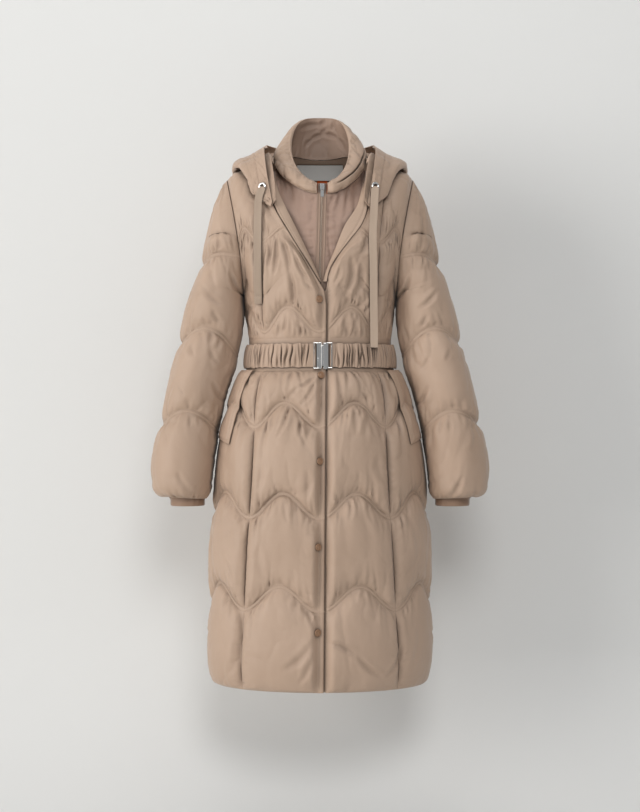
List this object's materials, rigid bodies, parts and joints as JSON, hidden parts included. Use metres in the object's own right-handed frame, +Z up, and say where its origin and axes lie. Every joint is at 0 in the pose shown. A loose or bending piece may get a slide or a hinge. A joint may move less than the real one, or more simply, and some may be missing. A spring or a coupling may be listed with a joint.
{
  "type": "long hooded puffer coat",
  "caption": "Long quilted hooded puffer coat with a gathered belt and buckle, snap front over a zipped bib, storm cuffs and hood drawstrings, filled out as worn.",
  "frame": {"origin": "middle of the shoulder line, where the wearer's neck and shoulders hold the coat up", "axes": "+Z up along the wearer's spine, the front faces -Y, +X is the wearer's left"},
  "size_m": [0.703, 0.3535, 1.1917],
  "materials": {
    "shell_cloth": "beige down-proof woven shell, semi-matt",
    "cuff_cloth": "brown smooth knit",
    "chrome": "polished silver metal",
    "snap_finish": "tan-brown lacquered cap",
    "label_cloth": "white woven tape, bare",
    "tab_cloth": "orange woven tape, bare"
  },
  "bodies": {
    "coat": {"back": "shell_cloth", "belt": "shell_cloth", "bib_left": "shell_cloth", "bib_right": "shell_cloth", "buckle_left": "chrome", "buckle_right": "chrome", "collar": "shell_cloth", "cuff_left": "cuff_cloth", "cuff_right": "cuff_cloth", "drawstring_left": "shell_cloth", "drawstring_right": "shell_cloth", "eyelet_left": "chrome", "eyelet_right": "chrome", "facing_left": "shell_cloth", "facing_right": "shell_cloth", "front_left": "shell_cloth", "front_right": "shell_cloth", "hood": "shell_cloth", "label": "label_cloth", "pocket_welt_left": "shell_cloth", "pocket_welt_right": "shell_cloth", "side_back_left": "shell_cloth", "side_back_right": "shell_cloth", "side_front_left": "shell_cloth", "side_front_right": "shell_cloth", "size_tab": "tab_cloth", "sleeve_left": "shell_cloth", "sleeve_right": "shell_cloth", "snap_1": "snap_finish", "snap_2": "snap_finish", "snap_3": "snap_finish", "snap_4": "snap_finish", "snap_5": "snap_finish", "zip_slider": "chrome", "zip_tape": "shell_cloth"},
    "zip_pull": {"zip_pull": "chrome"}
  },
  "joints": [
    {"name": "zip_pull_hinge", "type": "hinge", "parent": "coat", "child": "zip_pull", "pos_m": [0.0045, -0.104, -0.069], "axis": [-1, 0, 0], "range_deg": [0, 150]}
  ]
}
